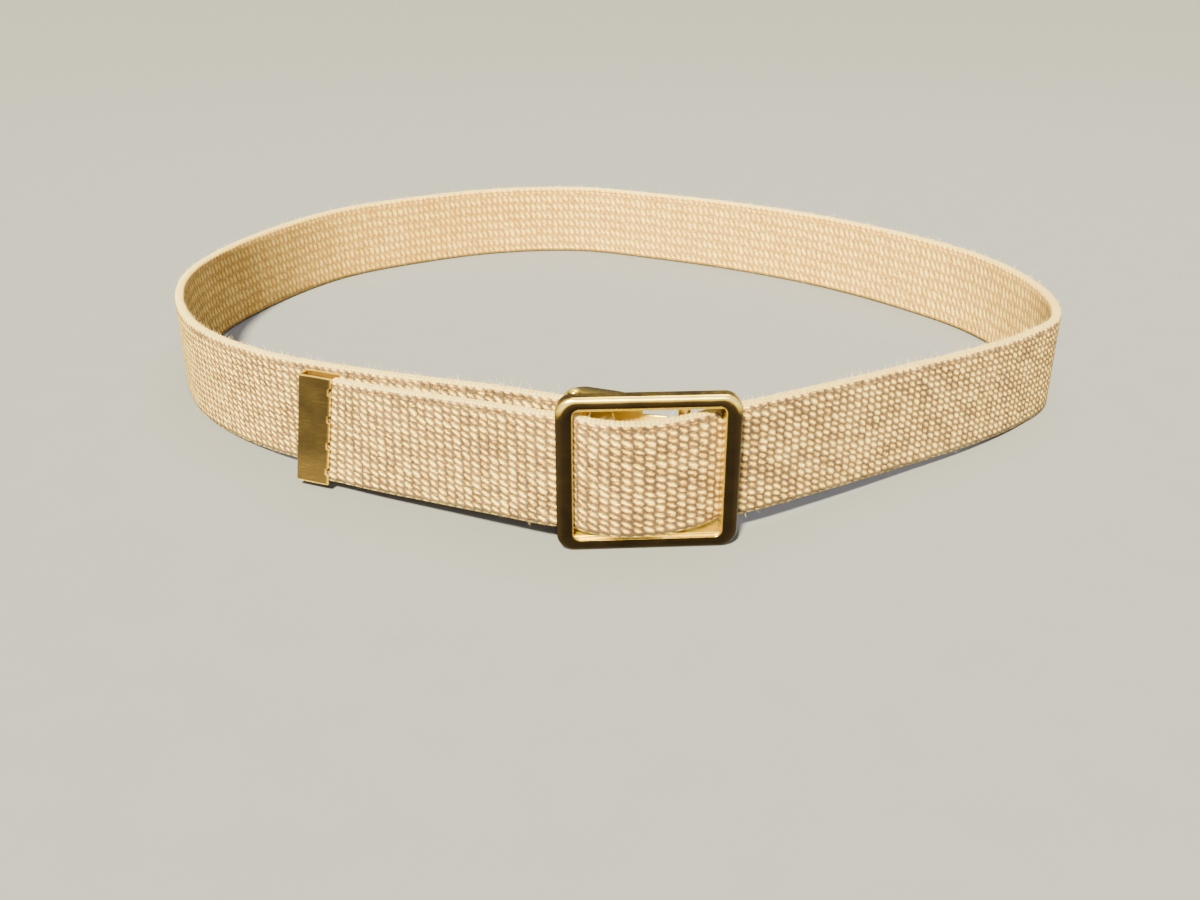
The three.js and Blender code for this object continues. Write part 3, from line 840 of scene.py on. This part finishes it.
def fold_section():
    """The folded sheet's section, anticlockwise: outer faces with a round fold at the closed
    end, inner faces inside them. The last value tells which points lie on the open edge."""
    inside = HALF_WEB + GAP
    outside = inside + TIP_SHEET
    closed = GAP + TIP_SHEET
    open_end = closed - TIP_LENGTH
    fold = 1.1
    face = np.concatenate([[0.0, 0.014, 0.028], np.linspace(0.08, 1, 12)])[:, None]
    back = face[-2::-1]
    outer = np.concatenate([
        (1 - face) * [open_end, -outside] + face * [closed - fold, -outside],
        arc_points((closed - fold, -outside + fold), fold, -math.pi / 2, 0, 8)[1:],
        arc_points((closed - fold, outside - fold), fold, 0, math.pi / 2, 8),
        (1 - back) * [open_end, outside] + back * [closed - fold, outside],
    ])
    soft = 0.5
    inner = np.concatenate([
        (1 - face) * [open_end, inside] + face * [GAP - soft, inside],
        arc_points((GAP - soft, inside - soft), soft, math.pi / 2, 0, 5)[1:],
        arc_points((GAP - soft, -inside + soft), soft, 0, -math.pi / 2, 5),
        (1 - back) * [open_end, -inside] + back * [GAP - soft, -inside],
    ])
    return np.concatenate([outer, inner]), open_end


def make_tip(material):
    """The folded tip: its section carried up its height. Near the open end each point moves
    inward by the notch's depth where a notch lies, and the broad faces dish by a slow sine."""
    section, open_end = fold_section()
    height = WEB_WIDTH + 2 * TIP_OVERHANG
    edge = np.array([0.0, 0.12, 0.25, 0.4])
    between = np.linspace(0.7 - height / 2, height / 2 - 0.7, 125)
    levels = np.concatenate([edge - height / 2, between, height / 2 - edge[::-1]])
    pitch = height / TOOTH_COUNT
    from_notch = np.abs((levels + height / 2) % pitch - pitch / 2)
    notch = np.clip((TOOTH_NOTCH / 2 - from_notch) / 0.2, 0, 1) * TOOTH_DEPTH
    from_open = (section[:, 0] - open_end) / TIP_LENGTH
    near_open = np.clip(1 - from_open / 0.2, 0, 1)
    x = section[None, :, 0] + notch[:, None] * near_open[None, :]
    middle = np.clip(1 - np.abs(from_open - 0.45) / 0.5, 0, 1)
    dish = 0.06 * np.sin(levels / 5.2 + 0.6)[:, None] * middle[None, :]
    curl = 0.16 * np.clip((-levels - height * 0.36) / 4.0, 0, 1)[:, None] * near_open[None, :]
    away = np.sign(section[:, 1])[None, :]
    y = section[None, :, 1] + away * (dish - curl)
    z = np.broadcast_to(levels[:, None], x.shape)
    turned = np.stack([x - z * math.tan(TIP_SKEW), y, z], -1)
    ends = [loop_row(*row) for row in TONGUE_ROWS[-2:]]
    heading = math.atan2(ends[1][1] - ends[0][1], ends[1][0] - ends[0][0])
    cos, sin = math.cos(heading), math.sin(heading)
    points = np.stack([
        ends[1][0] + turned[..., 0] * cos - turned[..., 1] * sin,
        ends[1][1] + turned[..., 0] * sin + turned[..., 1] * cos,
        ends[1][2] + turned[..., 2],
    ], -1)
    rows, columns = x.shape
    faces = grid_faces(rows, columns).tolist()
    last = (rows - 1) * columns
    outer = columns // 2
    for k in range(outer - 1):
        a, b = k, k + 1
        c, d = columns - 2 - k, columns - 1 - k
        if c > b:
            faces.append([d, c, b, a])
            faces.append([last + a, last + b, last + c, last + d])
    piece = new_piece("folded_tip", in_frame(points.reshape(-1, 3)), faces, material,
                      "belt_tip")
    # Painted light: painted highlights along the open edge and along the top and bottom edges, the
    # inner faces held below them as painted shade, and a little lighter towards the bottom
    rim = np.clip(1.6 - (section[:, 0] - open_end) / 0.13, 0, 1)[None, :]
    ends_up = np.clip((np.abs(levels) - height / 2 + 0.35) / 0.25, 0, 1)[:, None]
    inside = (np.arange(columns) >= columns // 2)[None, :]
    lower = np.clip((-levels / height - 0.15) * 1.2, 0, 0.2)[:, None]
    bright = np.maximum(np.maximum(rim, ends_up), inside * 0.45)
    return finish_metal(piece, bright * 0.85 + 0.12 + lower)


# Finishes


def weave_height(finish, along, up, steep):
    """Height of the weave, and a number for each bump: upright rows of bumps with a furrow
    between two rows, each bump highest where its row crosses a slanting ridge. steep is how
    fast the ridges rise, and they climb partly in steps, one to a row."""
    column = along.whole()
    uneven = finish.node("ShaderNodeTexWhiteNoise", {"noise_dimensions": "3D"},
                         {"Vector": finish.joined(column, up.whole(), steep)})
    ridge = along * 0.6 + column * 0.4 + up * steep + (uneven - 0.5) * 0.22
    across_row = 1 - ((along - column) * 2 - 1).size() ** 2.0
    across_ridge = (ridge.wave() + 1) * 0.5
    cell = finish.joined(column, (ridge + 0.5).whole(), steep)
    number = finish.node("ShaderNodeTexWhiteNoise", {"noise_dimensions": "3D"}, {"Vector": cell})
    return across_row * 0.33 + across_ridge * 0.27 + across_row * across_ridge * 0.40, number


def cotton():
    """Coarse cream cotton: plump bumps in slanting rows, with painted shade, dark brown, in the
    pits between them and painted highlights on their tops, and a ribbed selvedge past a thin
    furrow, painted paler as a highlight. On the inner face the ridges slant the other way and the
    painted light and shade are weaker and more even."""
    finish = Finish("cotton_weave", {"Roughness": 0.9, "Specular IOR Level": 0.15,
                                     "Sheen Weight": 0.2, "Sheen Roughness": 0.5})
    weave = finish.attribute("weave")
    along, up, inside = finish.parts(weave)
    edge = finish.node("ShaderNodeAttribute", {"attribute_name": "selvedge"}, output="Fac")
    inner_share = inside.between(0.45, 0.55)
    wander = finish.noise(weave, 0.30, 2.0)
    wobble = finish.noise(weave, 0.9, 3.0)
    a = along / CELL_LENGTH + (wander - 0.5) * 0.30 + (wobble - 0.5) * 0.45
    b = up / CELL_HEIGHT + (wobble - 0.5) * 0.50 + (wander - 0.5) * 0.25
    outer, outer_number = weave_height(finish, a, b, -1.0)
    inner, inner_number = weave_height(finish, a, b, 0.5)
    bumps = outer * (1 - inner_share) + inner * inner_share
    number = outer_number * (1 - inner_share) + inner_number * inner_share
    rib = ((along / RIB_PITCH + (wobble - 0.5) * 0.8).wave() + 1) * 0.5
    edge_share = edge.between(0.2, 0.6)
    stretched = finish.joined(along * 1.5 - up * 1.1, up * 2.2, inside * 30)
    plies = finish.noise(stretched, 1.5, 4.0, 0.7)
    grain = finish.noise(weave, 1.4, 4.0, 0.7)
    height = bumps * (number * 0.35 + 0.65) + (grain - 0.5) * 0.9
    # A thin furrow beside each selvedge: a real dip in the bump, and painted shade in the colour
    furrow = 1 - (up.size() - (WEB_WIDTH / 2 - SELVEDGE - 0.35)).size().between(0.1, 0.6)
    height = height * (1 - furrow * 0.5)
    height = height * (1 - edge_share) + (rib * 0.25 + plies * 0.5 + 0.3) * edge_share
    # Painted light and shade: the relief, the grain and the ply noise become colour, painted shade
    # dark brown in the pits and furrows, cream on the bump tops with painted glints
    painted_relief_light = (height * 1.48 + (plies - 0.5) * 1.7 - 0.25).clamped()
    # On the inner face the painted light and shade are pulled towards an even middle tone
    painted_relief_light = painted_relief_light * (1 - inner_share * 0.6) + inner_share * 0.42
    colour = finish.ramp(painted_relief_light, [
        (0.00, (0.03, 0.011, 0.002)), (0.22, (0.15, 0.062, 0.008)),
        (0.48, (0.48, 0.255, 0.038)), (0.72, (0.96, 0.65, 0.115)), (0.95, (1.00, 0.94, 0.35)),
    ])
    slow = finish.noise(weave, 0.05, 3.0)
    colour = finish.mixed((number * 0.4 + slow * 0.6).between(0.3, 0.75) * 0.18, colour,
                          (0.70, 0.46, 0.20))
    # The selvedges are painted paler: a painted highlight along both edges
    colour = finish.mixed(edge_share * 0.35, colour, (0.98, 0.80, 0.27))
    normal = finish.bump(height + plies * 0.35, 0.0021, 1.0)
    return finish.feed(colour=colour, normal=normal)


def fibre_finish():
    """Single bleached cotton fibres."""
    finish = Finish("cotton_fibre", {"Roughness": 0.8, "Sheen Weight": 0.3})
    tone = finish.noise(finish.place(), 900.0)
    colour = finish.mixed(tone, (0.80, 0.62, 0.32), (0.95, 0.82, 0.50))
    return finish.feed(colour=colour)


def plated(name, tones, roughness, scratch=0.3, streak=(500, 500, 6000)):
    """Gold plate. tones is a ramp over the piece's own "tone" attribute, which carries painted
    light and shade on most pieces, to which slow patches and fine streaks add a little, and
    scratches roughen it."""
    finish = Finish(name, {"Metallic": 0.9})
    place = finish.place()
    tone = finish.node("ShaderNodeAttribute", {"attribute_name": "tone"}, output="Fac")
    slow = finish.noise(place, 130.0, 3.0)
    fine = finish.noise(place, 2600.0, 3.0, 0.6)
    x, y, z = finish.parts(place)
    lines = finish.noise(finish.joined(x * streak[0], y * streak[1], z * streak[2]), 1.0, 4.0, 0.7)
    shift = (slow - 0.5) * 0.25 + (lines - 0.5) * 0.22
    colour = finish.ramp((tone + shift).clamped(), tones)
    marks = lines.between(0.56, 0.70)
    rough = roughness + slow * 0.10 + marks * (scratch * 0.25)
    bumped = finish.bump(marks * scratch + fine * 0.25, 0.00003, 0.35)
    return finish.feed(colour=colour, roughness=rough, normal=bumped)


# Floor and light

FLOOR_HALF = 7.0
KEY_STRENGTH = 37.0
KEY_ANGLE = math.radians(7)
KEY_TILT = math.radians(44)
KEY_TURN = math.radians(-20)
WORLD_STRENGTH = 0.45


def make_floor():
    """A plain pale floor, one flat square under the belt that fills the photo's view."""
    half = FLOOR_HALF
    corners = [(-half, -half, 0), (half, -half, 0), (half, half, 0), (-half, half, 0)]
    mesh = bpy.data.meshes.new("floor")
    mesh.from_pydata(corners, [], [(0, 1, 2, 3)])
    finish = Finish("floor_paint", {"Roughness": 0.85, "Specular IOR Level": 0.2})
    grain = finish.noise(finish.place(), 60.0, 3.0)
    colour = finish.mixed(grain, (0.112, 0.124, 0.182), (0.121, 0.133, 0.194))
    mesh.materials.append(finish.feed(colour=colour))
    floor = bpy.data.objects.new("floor", mesh)
    bpy.context.scene.collection.objects.link(floor)


def add_light(name, place, aim, size, power, colour):
    data = bpy.data.lights.new(name, "AREA")
    data.shape = "RECTANGLE"
    data.size, data.size_y = size
    data.energy = power
    data.color = colour
    light = bpy.data.objects.new(name, data)
    light.location = place
    towards = np.asarray(aim, float) - np.asarray(place, float)
    flat = math.hypot(towards[0], towards[1])
    light.rotation_euler = (math.atan2(flat, -towards[2]), 0,
                            math.atan2(towards[1], towards[0]) - math.pi / 2)
    bpy.context.scene.collection.objects.link(light)


def set_light():
    world = bpy.data.worlds.new("studio")
    world.use_nodes = True
    background = world.node_tree.nodes["Background"]
    background.inputs["Color"].default_value = (1.0, 0.87, 0.56, 1.0)
    background.inputs["Strength"].default_value = WORLD_STRENGTH
    bpy.context.scene.world = world
    data = bpy.data.lights.new("key", "SUN")
    data.energy = KEY_STRENGTH
    data.angle = KEY_ANGLE
    data.color = (1.0, 0.86, 0.42)
    key = bpy.data.objects.new("key", data)
    key.rotation_euler = (KEY_TILT, 0, KEY_TURN)
    bpy.context.scene.collection.objects.link(key)
    add_light("top", (0.20, 0.30, 1.10), (0, 0, 0.0), (0.7, 0.5), 13.0, (1.0, 0.92, 0.72))
    add_light("front", (0.05, -1.15, 0.55), (0, -0.15, 0.02), (0.5, 0.3), 8.0, (1.0, 0.92, 0.70))


set_camera()
make_floor()
set_light()

make_web(cotton())
make_fuzz(fibre_finish())

# The rim's ramp: its dark stops give the painted dark reflection and its bright ones the painted
# highlights
rim_finish = plated("rim_gold", [
    (0.00, (0.014, 0.009, 0.004)), (0.30, (0.046, 0.029, 0.012)), (0.52, (0.42, 0.28, 0.040)),
    (0.78, (0.90, 0.66, 0.10)), (1.00, (1.00, 0.88, 0.34)),
], 0.16, 0.25)
housing_finish = plated("housing_gold", [
    (0.0, (0.035, 0.027, 0.011)), (0.3, (0.20, 0.14, 0.025)), (0.6, (0.78, 0.56, 0.06)),
    (1.0, (1.0, 0.78, 0.16)),
], 0.22)
# Brighter gold than the housing and bar: painted light, so that the lever inside the buckle looks
# lit
lever_finish = plated("lever_gold_painted_lit", [
    (0.0, (0.82, 0.55, 0.04)), (1.0, (1.0, 0.83, 0.14)),
], 0.34, 0.4)
pin_finish = plated("pin_gold", [
    (0.0, (0.05, 0.028, 0.008)), (0.45, (0.70, 0.46, 0.05)), (1.0, (1.0, 0.86, 0.25)),
], 0.20)
bar_finish = plated("bar_gold", [(0.0, (0.42, 0.29, 0.05)), (1.0, (0.92, 0.69, 0.18))], 0.22)
tip_finish = plated("tip_gold", [
    (0.00, (0.042, 0.029, 0.011)), (0.35, (0.145, 0.097, 0.033)), (0.60, (0.30, 0.175, 0.040)),
    (1.00, (0.92, 0.69, 0.14)),
], 0.34, 0.9, streak=(250, 250, 2600))

make_rim(rim_finish)
make_housing(housing_finish)
make_lever(lever_finish)
make_pin(pin_finish)
make_bar(bar_finish)
make_tip(tip_finish)

for data_block in list(bpy.data.meshes):
    data_block.validate(verbose=False)
